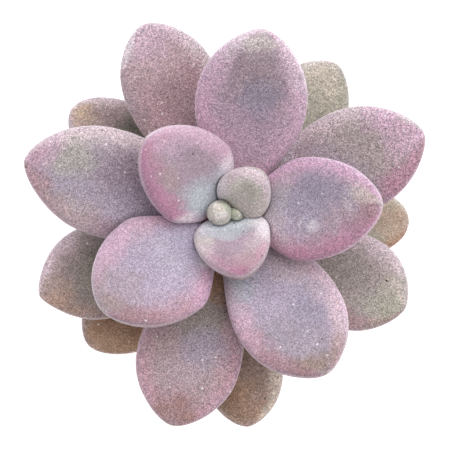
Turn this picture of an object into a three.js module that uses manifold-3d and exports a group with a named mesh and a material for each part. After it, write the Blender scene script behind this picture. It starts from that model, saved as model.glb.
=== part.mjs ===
// Potted ellen graptopetalum: one spiral rosette of thick leaves on a short stem, in a small clay pot.
// Sizes are in millimetres and +Z is up. The origin is on the ground under the middle of the pot's foot.
import * as THREE from "three";
import { mergeVertices } from "three/addons/utils/BufferGeometryUtils.js";
import Module from "manifold-3d";

const wasm = await Module();
wasm.setup();

// Clearance between pieces that touch on the plant
const gap = 0.3;

// Clay pot
const potHeight = 57;
const rimRadius = 32;
const bandHeight = 14;
const bandTaper = 1.4;
const bandStep = 1.8;
const footRadius = 21.5;
const potWall = 3.6;
const potFloor = 4.5;
const drainRadius = 5;
const edgeRound = 1;
const potSides = 44;

// Soil with grit on top of it
const soilTop = 49.5;
const soilCrown = 0.8;
const gritCount = 34;
const gritSmallest = 1.2;
const gritLargest = 2.1;
const gritSeed = 7;

// Plant: where its axis stands, and how its leaves follow each other down the stem
const plantAxis = new THREE.Vector2(0.8, 3.15);
const leafCount = 20;
const divergence = 137.5;
const firstHeading = 323;
const topLeafHeight = 84;
const budRaise = 3;
const leafSpacing = 1.05;

// Stem: radius at each height, from the buried end to the growing point
const stemProfile = [
  [32, 2.2], [36, 3.2], [50, 4], [62, 3.9], [71, 3.4], [78, 2.6], [85, 1.7], [87.1, 0.9],
];
const stemTip = 87.7;
const stemSides = 16;

// Slopes of the midrib in degrees: the blade's falls from leaf to leaf, the foot's is steeper, and the
// tip bends down on the young leaves and up on the old ones
const bladeSpan = 66;
const bladeFade = 9;
const bladeSink = 5;
const steepestFoot = 84;
const footExcess = 40;
const footExcessLoss = 2.2;
const leastFootExcess = 5;
const tipCurl = 12;
const curlTurnsAt = 5.5;
const curlPace = 3;
const budCount = 2;
const budSlope = 60;
const budSlopeStep = 10;
const budCurl = 8;

// Growth of the leaves with age, and the shrinking of the oldest
const growthStart = 0.9;
const growthPace = 1.6;
const shrinkFrom = 10;
const shrinkRate = 0.019;
const firstBaseRadius = 0.6;
const baseRadiusStep = 0.45;
const fullBaseRadius = 2.5;
const leastBaseWidth = 0.3;
const baseWidthGain = 0.9;
const baseWidthFade = 2;
const fullBaseWidth = 0.8;

// Leaf form that all the leaves share
const fullThickness = 8;
const fullSquareness = 3;
const youngSquarenessLoss = 0.5;
const oldUpperShare = 0.34;
const youngUpperShareGain = 0.12;
const fullDish = 0.2;
const sectionPace = 3;
const footPart = 0.28;
const thickestAt = 0.55;
const widthTipPower = 2.2;
const thickTipPower = 3;
const baseThickness = 0.42;
const baseRounding = 0.05;
const tipRounding = 0.03;
const leafAround = 20;
const leafAlong = 12;

// Leaf by leaf, youngest first: turn off the spiral in degrees, reach from the axis, width, place of
// the widest point, fullness of the tip and sideways bend of the tip. A leaf that isn't usual also has
// its own waist towards the base, roll or cupping.
const usualLeaf = { waist: 1.5, roll: 0, cup: 0 };
const leafSizes = [
  { turn: 13, reach: 2.7, width: 2.8, widest: 0.55, fullness: 2, bend: 0 },
  { turn: 7, reach: 3.1, width: 5.4, widest: 0.55, fullness: 2, bend: 0 },
  { turn: -2, reach: 10.8, width: 12, widest: 0.41, fullness: 1.5, bend: 0.4, roll: 6, cup: 0.04 },
  { turn: 6, reach: 14.7, width: 16.8, widest: 0.41, fullness: 1.6, bend: 1.3, roll: 7, cup: 0.2 },
  { turn: 5, reach: 23.5, width: 21, widest: 0.42, waist: 2, fullness: 1.7, bend: 0.3, roll: 6, cup: 0.1 },
  { turn: 4.5, reach: 32.7, width: 22.4, widest: 0.5, waist: 2.4, fullness: 1.45, bend: 1.2, cup: 0.03 },
  { turn: 2.5, reach: 34.5, width: 25.2, widest: 0.53, waist: 3.4, fullness: 1.6, bend: -1.4, roll: 4 },
  { turn: -3, reach: 39.4, width: 24.2, widest: 0.58, waist: 1.8, fullness: 1.4, bend: 0.8 },
  { turn: -4, reach: 41, width: 24, widest: 0.61, waist: 1.4, fullness: 1.4, bend: 1.3 },
  { turn: 2.5, reach: 45.4, width: 23.8, widest: 0.56, waist: 1.3, fullness: 1.3, bend: -1.5 },
  { turn: -6, reach: 45.7, width: 22.9, widest: 0.61, waist: 1.8, fullness: 1.3, bend: -0.2 },
  { turn: 4, reach: 48.6, width: 22.8, widest: 0.66, fullness: 1.3, bend: 0.5 },
  { turn: 1.5, reach: 45.2, width: 21.6, widest: 0.62, fullness: 1.5, bend: 0.2 },
  { turn: -6.5, reach: 44.8, width: 21.4, widest: 0.69, fullness: 1.35, bend: 1.5 },
  { turn: 9, reach: 46.2, width: 21.2, widest: 0.65, fullness: 1.15, bend: -2.2 },
  { turn: -8.5, reach: 41.1, width: 22.7, widest: 0.49, fullness: 1.45, bend: 1 },
  { turn: -7.5, reach: 48.8, width: 17.7, widest: 0.72, fullness: 1.45, bend: -0.3 },
  { turn: 2, reach: 42.5, width: 20.6, widest: 0.43, fullness: 1.9, bend: -0.4 },
  { turn: -15, reach: 41.2, width: 17.5, widest: 0.58, fullness: 2, bend: 2.2 },
  { turn: -3.5, reach: 44.3, width: 23.1, widest: 0.5, fullness: 1.65, bend: -2.2 },
];

const radians = THREE.MathUtils.degToRad;

// A closed solid from a geometry, with its doubled vertices merged
function solidOf(geometry) {
  const bare = geometry.clone();
  bare.deleteAttribute("normal");
  bare.deleteAttribute("uv");
  const merged = mergeVertices(bare, 1e-4);
  const vertProperties = new Float32Array(merged.attributes.position.array);
  const indices = merged.index ? merged.index.array : [...Array(vertProperties.length / 3).keys()];
  const triVerts = Uint32Array.from(dropFlat(indices));
  return new wasm.Manifold(new wasm.Mesh({ numProp: 3, vertProperties, triVerts }));
}

// The triangles that still have three different corners after merging
function dropFlat(indices) {
  const kept = [];
  for (let i = 0; i < indices.length; i += 3) {
    const [a, b, c] = [indices[i], indices[i + 1], indices[i + 2]];
    if (a !== b && b !== c && c !== a) kept.push(a, b, c);
  }
  return kept;
}

// A geometry back from a solid
function geometryOf(solid) {
  const mesh = solid.getMesh();
  const geometry = new THREE.BufferGeometry();
  geometry.setAttribute("position", new THREE.BufferAttribute(new Float32Array(mesh.vertProperties), 3));
  geometry.setIndex([...mesh.triVerts]);
  geometry.computeVertexNormals();
  return geometry;
}

// A solid of revolution about the plumb line, from radius and height pairs in order round the section
function turned(profile, sides) {
  const points = profile.map(([radius, height]) => new THREE.Vector2(radius, height));
  return new THREE.LatheGeometry(points, sides).rotateX(Math.PI / 2);
}

function addPiece(group, name, solid, colour, roughness) {
  const material = new THREE.MeshStandardMaterial({ color: colour, roughness, metalness: 0 });
  const piece = new THREE.Mesh(geometryOf(solid), material);
  piece.name = name;
  group.add(piece);
}

// Inner radius of the pot at a height
function hollowRadius(height) {
  const bottom = footRadius - potWall;
  const top = rimRadius - potWall;
  return bottom + (top - bottom) * (height - potFloor) / (potHeight - potFloor);
}

function makePot() {
  const bandBottom = potHeight - bandHeight;
  const profile = [
    [drainRadius, 0],
    [footRadius - edgeRound, 0],
    [footRadius, edgeRound],
    [rimRadius - bandTaper - bandStep, bandBottom],
    [rimRadius - bandTaper, bandBottom + edgeRound / 2],
    [rimRadius, potHeight - edgeRound],
    [rimRadius - edgeRound, potHeight],
    [hollowRadius(potHeight) + edgeRound, potHeight],
    [hollowRadius(potHeight - edgeRound), potHeight - edgeRound],
    [hollowRadius(potFloor), potFloor],
    [drainRadius, potFloor],
    [drainRadius, 0],
  ];
  return solidOf(turned(profile, potSides));
}

// Steady pseudo-random numbers from 0 to 1, so that every build is the same
function makeRandom(seed) {
  let state = seed;
  return () => {
    state = (state * 16807) % 2147483647;
    return state / 2147483647;
  };
}

// Stones half sunk in the soil, spread by the golden angle between the stem and the pot's wall
function makeGrit() {
  const random = makeRandom(gritSeed);
  const outer = hollowRadius(soilTop) - gritLargest - 2 * gap;
  const clearOfStem = stemRadius(soilTop) + gritLargest + 2 * gap;
  const stones = [];
  for (let i = 0; i < gritCount; i++) {
    const size = gritSmallest + (gritLargest - gritSmallest) * random();
    const radius = outer * Math.sqrt((i + 0.5) / gritCount);
    const heading = radians(divergence * i);
    const x = radius * Math.cos(heading);
    const y = radius * Math.sin(heading);
    const spin = new THREE.Euler(6 * random(), 6 * random(), 6 * random());
    if (Math.hypot(x - plantAxis.x, y - plantAxis.y) < clearOfStem) continue;
    const stone = new THREE.IcosahedronGeometry(size, 0);
    stone.applyMatrix4(new THREE.Matrix4().makeRotationFromEuler(spin));
    stone.scale(1, 1, 0.75);
    stone.translate(x, y, soilTop + 0.2 * size);
    stones.push(solidOf(stone));
  }
  return stones;
}

function makeSoil(stemHole) {
  const low = potFloor + gap;
  const high = soilTop - 0.5;
  const profile = [
    [0, low],
    [hollowRadius(low) - gap, low],
    [hollowRadius(high) - gap, high],
    [hollowRadius(high) - 2.5, soilTop],
    [hollowRadius(high) / 2, soilTop + soilCrown / 2],
    [0, soilTop + soilCrown],
  ];
  let soil = solidOf(turned(profile, potSides));
  for (const stone of makeGrit()) soil = soil.add(stone);
  return soil.subtract(stemHole);
}

// Radius of the stem at a height between two points of its profile
function stemRadius(height) {
  for (let i = 1; i < stemProfile.length; i++) {
    const [low, lowRadius] = stemProfile[i - 1];
    const [high, highRadius] = stemProfile[i];
    if (height <= high) return lowRadius + (highRadius - lowRadius) * (height - low) / (high - low);
  }
  return stemProfile.at(-1)[1];
}

// The stem, or with a margin the space that its neighbours keep clear of
function makeStem(margin) {
  const start = stemProfile[0][0] - margin;
  const profile = [[0, start]];
  for (const [height, radius] of stemProfile) profile.push([radius + margin, height]);
  profile[1][1] = start;
  profile.push([0, stemTip + margin]);
  return solidOf(turned(profile, stemSides).translate(plantAxis.x, plantAxis.y, 0));
}

// What follows from a leaf's age: the youngest stand up, are thin and domed, and begin near the axis.
// The midrib leaves the stem steeply and turns into the blade.
function leafOf(index) {
  const bud = index < budCount;
  const openSlope = bladeSpan * Math.exp(-index / bladeFade) - bladeSink;
  const bladeSlope = bud ? budSlope + budSlopeStep * index : openSlope;
  const steep = Math.min(steepestFoot, bladeSlope + footExcess - footExcessLoss * index);
  const footSlope = bud ? bladeSlope + budCurl : Math.max(bladeSlope + leastFootExcess, steep);
  const tipSlope = bladeSlope + (bud ? -budCurl : tipCurl * Math.tanh((index - curlTurnsAt) / curlPace));
  const [foot, blade, tip] = [footSlope, bladeSlope, tipSlope].map(radians);
  const baseRadius = Math.min(fullBaseRadius, firstBaseRadius + baseRadiusStep * index);
  const footRun = footPart * (Math.sin(blade) - Math.sin(foot)) / (blade - foot);
  const bladeRun = (1 - footPart) * (Math.sin(tip) - Math.sin(blade)) / (tip - blade);
  const length = (leafSizes[index].reach - baseRadius) / (footRun + bladeRun);
  const sinceBuds = index - budCount;
  const growth = 1 - Math.exp(-(index + growthStart) / growthPace);
  const shrink = 1 - shrinkRate * Math.max(0, index - shrinkFrom);
  return {
    ...usualLeaf,
    ...leafSizes[index],
    heading: radians(firstHeading - divergence * index + leafSizes[index].turn),
    baseHeight: topLeafHeight - leafSpacing * index + budRaise * Math.exp(-Math.abs(index - 1) / 3),
    baseRadius,
    baseWidth: Math.min(fullBaseWidth, leastBaseWidth + baseWidthGain * Math.exp(-index / baseWidthFade)),
    thickness: fullThickness * growth * shrink,
    squareness: bud ? 2 : fullSquareness - youngSquarenessLoss * Math.exp(-sinceBuds / sectionPace),
    upperShare: bud ? 0.5 : oldUpperShare + youngUpperShareGain * Math.exp(-2 * sinceBuds / sectionPace),
    dish: bud ? 0 : fullDish * (1 - Math.exp(-(sinceBuds + 1) / sectionPace)),
    foot,
    blade,
    tip,
    footBend: (blade - foot) / (footPart * length),
    bladeBend: (tip - blade) / ((1 - footPart) * length),
  };
}

// A point on the leaf: along runs from 0 at the base to 1 at the tip, and across and up are the
// cosine and sine of the angle round its section. The upper face is flat with a shallow dish.
function leafPoint(leaf, along, across, up, margin) {
  const toWidest = Math.min(along / leaf.widest, 1);
  const pastWidest = Math.max(0, (along - leaf.widest) / (1 - leaf.widest));
  const toThickest = Math.min(along / thickestAt, 1);
  const pastThickest = Math.max(0, (along - thickestAt) / (1 - thickestAt));
  const closing = Math.sqrt(Math.min(along / baseRounding, 1));
  const rise = leaf.baseWidth + (1 - leaf.baseWidth) * Math.sin(Math.PI / 2 * toWidest) ** leaf.waist;
  const toTip = Math.max(1 - along, 1e-6);
  const blunt = ((toTip + tipRounding) / toTip) ** (1 / leaf.fullness - 0.5);
  const fall = Math.max(0, 1 - pastWidest ** widthTipPower) ** (1 / leaf.fullness) * blunt;
  const swell = baseThickness + (1 - baseThickness) * Math.sin(Math.PI / 2 * toThickest);
  const thin = Math.max(0, 1 - pastThickest ** thickTipPower) ** 0.5;
  const half = leaf.width / 2 * rise * fall * closing;
  const thick = leaf.thickness * swell * thin * closing;
  const hollow = leaf.dish * (1 - across ** 2) ** 2;
  const top = Math.max(0, 1 - Math.abs(across) ** leaf.squareness) ** (1 / leaf.squareness) - hollow;
  const above = leaf.upperShare * thick * top + margin * up;
  const below = ((1 - leaf.upperShare) * thick + margin) * up;
  const side = (half + margin) * across;
  const lift = (up > 0 ? above : below) + leaf.cup * half * across ** 2;

  const roll = radians(leaf.roll);
  const sideways = side * Math.cos(roll) - lift * Math.sin(roll);
  const outwards = side * Math.sin(roll) + lift * Math.cos(roll);

  const { foot, blade, tip, footBend, bladeBend } = leaf;
  const onFoot = foot + (blade - foot) * Math.min(along / footPart, 1);
  const onBlade = blade + (tip - blade) * Math.max(0, (along - footPart) / (1 - footPart));
  const slope = onFoot + onBlade - blade;
  const footRun = (Math.sin(onFoot) - Math.sin(foot)) / footBend;
  const bladeRun = (Math.sin(onBlade) - Math.sin(blade)) / bladeBend;
  const footClimb = (Math.cos(foot) - Math.cos(onFoot)) / footBend;
  const bladeClimb = (Math.cos(blade) - Math.cos(onBlade)) / bladeBend;
  const past = margin * (2 * along - 1);
  const run = leaf.baseRadius + footRun + bladeRun;
  const climb = leaf.baseHeight + footClimb + bladeClimb;
  const radial = run - outwards * Math.sin(slope) + past * Math.cos(slope);
  const height = climb + outwards * Math.cos(slope) + past * Math.sin(slope);
  const lateral = leaf.bend * along ** 2 + sideways;
  return new THREE.Vector3(
    plantAxis.x + radial * Math.cos(leaf.heading) - lateral * Math.sin(leaf.heading),
    plantAxis.y + radial * Math.sin(leaf.heading) + lateral * Math.cos(leaf.heading),
    height,
  );
}

// A leaf drawn out of a ball: the ball's poles become the base and the tip
function makeLeaf(leaf, margin) {
  const ball = new THREE.SphereGeometry(1, leafAround, leafAlong);
  const position = ball.attributes.position;
  for (let i = 0; i < position.count; i++) {
    const x = position.getX(i);
    const z = position.getZ(i);
    const round = Math.hypot(x, z) || 1;
    const along = (1 - position.getY(i)) / 2;
    const shrinkAtPole = Math.min(1, Math.hypot(x, z) / 0.05);
    const point = leafPoint(leaf, along, x / round * shrinkAtPole, z / round * shrinkAtPole, margin);
    position.setXYZ(i, point.x, point.y, point.z);
  }
  return solidOf(ball);
}

// Colours of the leaves, from the pale bud through the pink inner leaves to the brown outer ones
const leafColours = ["#b9c2ae", "#c4bfae", "#aca5a0", "#bfa3ad", "#b494a6", "#a598a8", "#a999ac", "#a294a0",
  "#a39aa6", "#9d959c", "#9c9198", "#96898f", "#a08e90", "#968b88", "#8e8482", "#96937f", "#887b6c",
  "#8f7f72", "#a18b74", "#8a7767"];

const plant = new THREE.Group();
const stemSpace = makeStem(gap);
addPiece(plant, "pot", makePot(), "#b5694a", 0.85);
addPiece(plant, "soil", makeSoil(stemSpace), "#4a3a2d", 0.95);
addPiece(plant, "stem", makeStem(0), "#8a8560", 0.8);
const younger = [];
for (let index = 0; index < leafCount; index++) {
  const leaf = leafOf(index);
  let solid = makeLeaf(leaf, 0).subtract(stemSpace);
  for (const space of younger) solid = solid.subtract(space);
  younger.push(makeLeaf(leaf, gap));
  const name = "leaf_" + String(index + 1).padStart(2, "0");
  addPiece(plant, name, solid, leafColours[index], 0.7);
}

export default plant;
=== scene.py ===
import math

import bmesh
import bpy
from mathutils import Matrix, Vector, noise


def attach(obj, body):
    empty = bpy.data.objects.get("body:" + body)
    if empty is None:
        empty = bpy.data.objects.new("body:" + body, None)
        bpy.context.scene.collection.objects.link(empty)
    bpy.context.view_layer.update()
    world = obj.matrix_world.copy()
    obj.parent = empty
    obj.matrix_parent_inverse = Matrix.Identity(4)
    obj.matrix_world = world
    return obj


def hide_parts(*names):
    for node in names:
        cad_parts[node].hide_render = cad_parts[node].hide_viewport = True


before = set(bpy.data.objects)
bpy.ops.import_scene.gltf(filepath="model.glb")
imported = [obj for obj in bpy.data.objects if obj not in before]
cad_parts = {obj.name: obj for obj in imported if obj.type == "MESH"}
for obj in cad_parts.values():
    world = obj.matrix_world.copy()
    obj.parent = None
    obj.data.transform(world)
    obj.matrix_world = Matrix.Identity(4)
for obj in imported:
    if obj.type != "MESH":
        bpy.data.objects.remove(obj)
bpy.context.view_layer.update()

mm = 0.001


# Helpers

def srgb(code):  # "#rrggbb" to linear RGBA
    parts = [int(code[i:i + 2], 16) / 255 for i in (1, 3, 5)]
    return [p / 12.92 if p < 0.04045 else ((p + 0.055) / 1.055) ** 2.4 for p in parts] + [1]


def linkObject(name, mesh):
    piece = bpy.data.objects.new(name, mesh)
    bpy.context.scene.collection.objects.link(piece)
    return piece


def smoothAll(mesh):
    mesh.polygons.foreach_set("use_smooth", [True] * len(mesh.polygons))


def settle(piece, *nodes, slot):  # what every piece says to the frame
    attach(piece, "root")
    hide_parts(*nodes)
    return piece


class Term:  # a node socket that can be added, multiplied and so on
    def __init__(self, tree, socket):
        self.tree = tree
        self.socket = socket

    def calc(self, operation, *others):
        node = self.tree.nodes.new("ShaderNodeMath")
        node.operation = operation
        for slot, value in zip(node.inputs, (self, *others)):
            if isinstance(value, Term):
                self.tree.links.new(value.socket, slot)
            else:
                slot.default_value = value
        return Term(self.tree, node.outputs[0])

    def __add__(self, other):
        return self.calc("ADD", other)

    def __radd__(self, other):
        return self.calc("ADD", other)

    def __sub__(self, other):
        return self.calc("SUBTRACT", other)

    def __rsub__(self, other):
        return self.calc("MULTIPLY_ADD", -1.0, other)

    def __mul__(self, other):
        return self.calc("MULTIPLY", other)

    def __rmul__(self, other):
        return self.calc("MULTIPLY", other)

    def __truediv__(self, other):
        return self.calc("DIVIDE", other)

    def __rtruediv__(self, other):
        return other * self.calc("POWER", -1.0)

    def __pow__(self, other):
        return self.calc("POWER", other)

    def least(self, other):
        return self.calc("MINIMUM", other)

    def most(self, other):
        return self.calc("MAXIMUM", other)

    def above(self, other):
        return self.calc("GREATER_THAN", other)

    def sin(self):
        return self.calc("SINE")

    def cos(self):
        return self.calc("COSINE")

    def size(self):
        return self.calc("ABSOLUTE")

    def ramp(self, low, high):  # smooth step from 0 at low to 1 at high
        node = self.tree.nodes.new("ShaderNodeMapRange")
        node.interpolation_type = "SMOOTHSTEP"
        node.inputs["From Min"].default_value = low
        node.inputs["From Max"].default_value = high
        self.tree.links.new(self.socket, node.inputs["Value"])
        return Term(self.tree, node.outputs[0])


def newTree(name, inputs):  # a Geometry Nodes tree and its named inputs as terms
    tree = bpy.data.node_groups.new(name, "GeometryNodeTree")
    tree.interface.new_socket("Geometry", in_out="OUTPUT", socket_type="NodeSocketGeometry")
    for label, value in inputs.items():
        kind = "NodeSocketInt" if isinstance(value, int) else "NodeSocketFloat"
        socket = tree.interface.new_socket(label, in_out="INPUT", socket_type=kind)
        socket.default_value = value
    tree.interface.new_socket("Material", in_out="INPUT", socket_type="NodeSocketMaterial")
    entry = tree.nodes.new("NodeGroupInput")
    return tree, {label: Term(tree, entry.outputs[label]) for label in [*inputs, "Material"]}


def addNode(tree, kind, links=None, **settings):
    node = tree.nodes.new(kind)
    for key, value in settings.items():
        setattr(node, key, value)
    for label, value in (links or {}).items():
        slot = node.inputs[label]
        if isinstance(value, Term):
            tree.links.new(value.socket, slot)
        elif isinstance(value, bpy.types.NodeSocket):
            tree.links.new(value, slot)
        else:
            slot.default_value = value
    return node


def closeTree(tree, geometry, material):  # Realize Instances and Set Material, then out
    real = addNode(tree, "GeometryNodeRealizeInstances", {"Geometry": geometry})
    dressed = addNode(tree, "GeometryNodeSetMaterial", {"Geometry": real.outputs[0], "Material": material})
    out = tree.nodes.new("NodeGroupOutput")
    tree.links.new(dressed.outputs[0], out.inputs[0])


def runTree(name, tree, values, material):  # the tree's result as a plain mesh object
    carrier = linkObject(name + "Carrier", bpy.data.meshes.new(name + "Base"))
    modifier = carrier.modifiers.new("shape", "NODES")
    modifier.node_group = tree
    for item in tree.interface.items_tree:
        if item.in_out == "INPUT" and item.name in values:
            modifier[item.identifier] = values[item.name]
        if item.in_out == "INPUT" and item.name == "Material":
            modifier[item.identifier] = material
    graph = bpy.context.evaluated_depsgraph_get()
    mesh = bpy.data.meshes.new_from_object(carrier.evaluated_get(graph), depsgraph=graph)
    mesh.name = name
    carrier.modifiers.clear()
    bpy.data.objects.remove(carrier)
    smoothAll(mesh)
    return linkObject(name, mesh)


def newMaterial(name, roughness):
    material = bpy.data.materials.new(name)
    material.use_nodes = True
    shader = material.node_tree.nodes["Principled BSDF"]
    shader.inputs["Roughness"].default_value = roughness
    return material, material.node_tree, shader


def mixColour(tree, first, second, amount):  # first turning into second by an amount
    node = tree.nodes.new("ShaderNodeMix")
    node.data_type = "RGBA"
    for place, value in ((0, amount), (6, first), (7, second)):
        if isinstance(value, Term):
            tree.links.new(value.socket, node.inputs[place])
        elif isinstance(value, bpy.types.NodeSocket):
            tree.links.new(value, node.inputs[place])
        else:
            node.inputs[place].default_value = value
    return node.outputs[2]


def shade(tree, colour, factor):  # a colour made lighter or darker by a factor
    return addNode(tree, "ShaderNodeVectorMath", {0: colour, "Scale": factor}, operation="SCALE").outputs[0]


def noiseAt(tree, place, scale, detail=2.0, roughness=0.5):
    links = {"Vector": place, "Scale": float(scale), "Detail": float(detail), "Roughness": roughness}
    return addNode(tree, "ShaderNodeTexNoise", links)


def cellsAt(tree, place, scale):  # distance to the middle of a cell, and a steady random number for each cell
    cells = addNode(tree, "ShaderNodeTexVoronoi", {"Vector": place, "Scale": float(scale)})
    lots = addNode(tree, "ShaderNodeSeparateColor", {"Color": cells.outputs["Color"]})
    return Term(tree, cells.outputs["Distance"]), Term(tree, lots.outputs[0])


def lengthOf(tree, vector):
    return Term(tree, addNode(tree, "ShaderNodeVectorMath", {0: vector}, operation="LENGTH").outputs["Value"])


def addBump(tree, shader, strength, depth, height):  # depth in mm
    bump = addNode(tree, "ShaderNodeBump", {"Strength": strength, "Distance": depth * mm, "Height": height})
    tree.links.new(bump.outputs[0], shader.inputs["Normal"])


# Leaf shape: the same rules as the frame's leaves, drawn finely out of a ball

plantForm = dict(
    axisX=0.8, axisY=3.15,          # mm, where the stem stands
    divergence=137.5,               # degrees from each leaf to the next
    firstHeading=323,
    topLeafHeight=84,
    budRaise=3,
    leafSpacing=1.05,
    buds=2,
    # slopes of the midrib in degrees: foot, blade and tip, from the youngest leaf to the oldest
    bladeSpan=66, bladeFade=9, bladeSink=5,
    steepestFoot=84, footExcess=40, footExcessLoss=2.2, leastFootExcess=5,
    tipCurl=12, curlTurnsAt=5.5, curlPace=3,
    budSlope=60, budSlopeStep=10, budCurl=8,
    # growth with age
    growthStart=0.9, growthPace=1.6, shrinkFrom=10, shrinkRate=0.019,
    firstBaseRadius=0.6, baseRadiusStep=0.45, fullBaseRadius=2.5,
    leastBaseWidth=0.3, baseWidthGain=0.9, baseWidthFade=2, fullBaseWidth=0.8,
    # section
    fullThickness=8,
    fullSquareness=3, youngSquarenessLoss=0.5, budSquareness=2,
    oldUpperShare=0.34, youngUpperShareGain=0.12, budUpperShare=0.5,
    fullDish=0.2, sectionPace=3,
    footPart=0.28,                  # the share of the leaf that turns from its steep foot to its blade
    thickestAt=0.55, baseThickness=0.42, thickTipPower=3,
    baseRounding=0.05, tipRounding=0.03, widthTipPower=2.2,
    point=0.05,                     # mm
    rippleStep=0.03, fullRipple=0.12, rippleScale=160, fineRippleScale=620, fineRippleShare=0.3,
    around=96,
    along=80,
)

# The rows aren't free choices: they are rounded from a fit of this leaf rule to edges read off the photo
leafShapes = [  # youngest first: turn, reach, width, widest, waist, fullness, bend, roll, cup
    (13, 2.7, 2.8, 0.55, 1.5, 2, 0, 0, 0),
    (7, 3.1, 5.4, 0.55, 1.5, 2, 0, 0, 0),
    (-2, 10.8, 12, 0.41, 1.5, 1.5, 0.4, 6, 0.04),
    (6, 14.7, 16.8, 0.41, 1.5, 1.6, 1.3, 7, 0.2),
    (5, 23.5, 21, 0.42, 2, 1.7, 0.3, 6, 0.1),
    (4.5, 32.7, 22.4, 0.5, 2.4, 1.45, 1.2, 0, 0.03),
    (2.5, 34.5, 25.2, 0.53, 3.4, 1.6, -1.4, 4, 0),
    (-3, 39.4, 24.2, 0.58, 1.8, 1.4, 0.8, 0, 0),
    (-4, 41, 24, 0.61, 1.4, 1.4, 1.3, 0, 0),
    (2.5, 45.4, 23.8, 0.56, 1.3, 1.3, -1.5, 0, 0),
    (-6, 45.7, 22.9, 0.61, 1.8, 1.3, -0.2, 0, 0),
    (4, 48.6, 22.8, 0.66, 1.5, 1.3, 0.5, 0, 0),
    (1.5, 45.2, 21.6, 0.62, 1.5, 1.5, 0.2, 0, 0),
    (-6.5, 44.8, 21.4, 0.69, 1.5, 1.35, 1.5, 0, 0),
    (9, 46.2, 21.2, 0.65, 1.5, 1.15, -2.2, 0, 0),
    (-8.5, 41.1, 22.7, 0.49, 1.5, 1.45, 1, 0, 0),
    (-7.5, 48.8, 17.7, 0.72, 1.5, 1.45, -0.3, 0, 0),
    (2, 42.5, 20.6, 0.43, 1.5, 1.9, -0.4, 0, 0),
    (-15, 41.2, 17.5, 0.58, 1.5, 2, 2.2, 0, 0),
    (-3.5, 44.3, 23.1, 0.5, 1.5, 1.65, -2.2, 0, 0),
]


def leafSlopes(index):  # foot, blade and tip slope: the youngest stand up, the oldest lie flat
    form = plantForm
    if index < form["buds"]:
        blade = form["budSlope"] + form["budSlopeStep"] * index
        return [math.radians(blade + curl) for curl in (form["budCurl"], 0, -form["budCurl"])]
    blade = form["bladeSpan"] * math.exp(-index / form["bladeFade"]) - form["bladeSink"]
    foot = min(form["steepestFoot"], blade + form["footExcess"] - form["footExcessLoss"] * index)
    foot = max(blade + form["leastFootExcess"], foot)
    tip = blade + form["tipCurl"] * math.tanh((index - form["curlTurnsAt"]) / form["curlPace"])
    return [math.radians(slope) for slope in (foot, blade, tip)]


def leafSection(index):  # squareness, the share above the midrib and the dish on top
    form = plantForm
    if index < form["buds"]:
        return float(form["budSquareness"]), form["budUpperShare"], 0.0
    pace = form["sectionPace"]
    squareness = form["fullSquareness"] - form["youngSquarenessLoss"] * math.exp(-(index - 2) / pace)
    upper = form["oldUpperShare"] + form["youngUpperShareGain"] * math.exp(-(index - 2) / (pace / 2))
    return squareness, upper, form["fullDish"] * (1 - math.exp(-(index - 1) / pace))


def leafValues(index):
    turn, reach, width, widest, waist, fullness, bend, roll, cup = leafShapes[index]
    form = plantForm
    foot, blade, tip = leafSlopes(index)
    squareness, upper, dish = leafSection(index)
    heading = form["firstHeading"] - form["divergence"] * index + turn
    budLift = form["budRaise"] * math.exp(-abs(index - 1) / 3)
    baseRadius = min(form["fullBaseRadius"], form["firstBaseRadius"] + form["baseRadiusStep"] * index)
    baseWidth = form["leastBaseWidth"] + form["baseWidthGain"] * math.exp(-index / form["baseWidthFade"])
    footRun = form["footPart"] * (math.sin(blade) - math.sin(foot)) / (blade - foot)
    bladeRun = (1 - form["footPart"]) * (math.sin(tip) - math.sin(blade)) / (tip - blade)
    growth = 1 - math.exp(-(index + form["growthStart"]) / form["growthPace"])
    shrink = 1 - form["shrinkRate"] * max(0, index - form["shrinkFrom"])
    return {
        "Axis X": form["axisX"] * mm,
        "Axis Y": form["axisY"] * mm,
        "Heading": math.radians(heading % 360),
        "Length": (reach - baseRadius) / (footRun + bladeRun) * mm,
        "Width": width * mm,
        "Widest": float(widest),
        "Waist": float(waist),
        "Fullness": float(fullness),
        "Bend": bend * mm,
        "Roll": math.radians(roll),
        "Cup": float(cup),
        "Base Height": (form["topLeafHeight"] + budLift - form["leafSpacing"] * index) * mm,
        "Base Radius": baseRadius * mm,
        "Base Width": min(form["fullBaseWidth"], baseWidth),
        "Thickness": form["fullThickness"] * growth * shrink * mm,
        "Squareness": squareness,
        "Upper Share": upper,
        "Dish": dish,
        "Foot Slope": foot,
        "Blade Slope": blade,
        "Tip Slope": tip,
        "Foot Part": form["footPart"],
        "Point": 0 if index < form["buds"] else form["point"] * mm,
        "Ripple": min(form["fullRipple"], form["rippleStep"] * index) * mm,
        "Around": form["around"],
        "Along": form["along"],
    }


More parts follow.
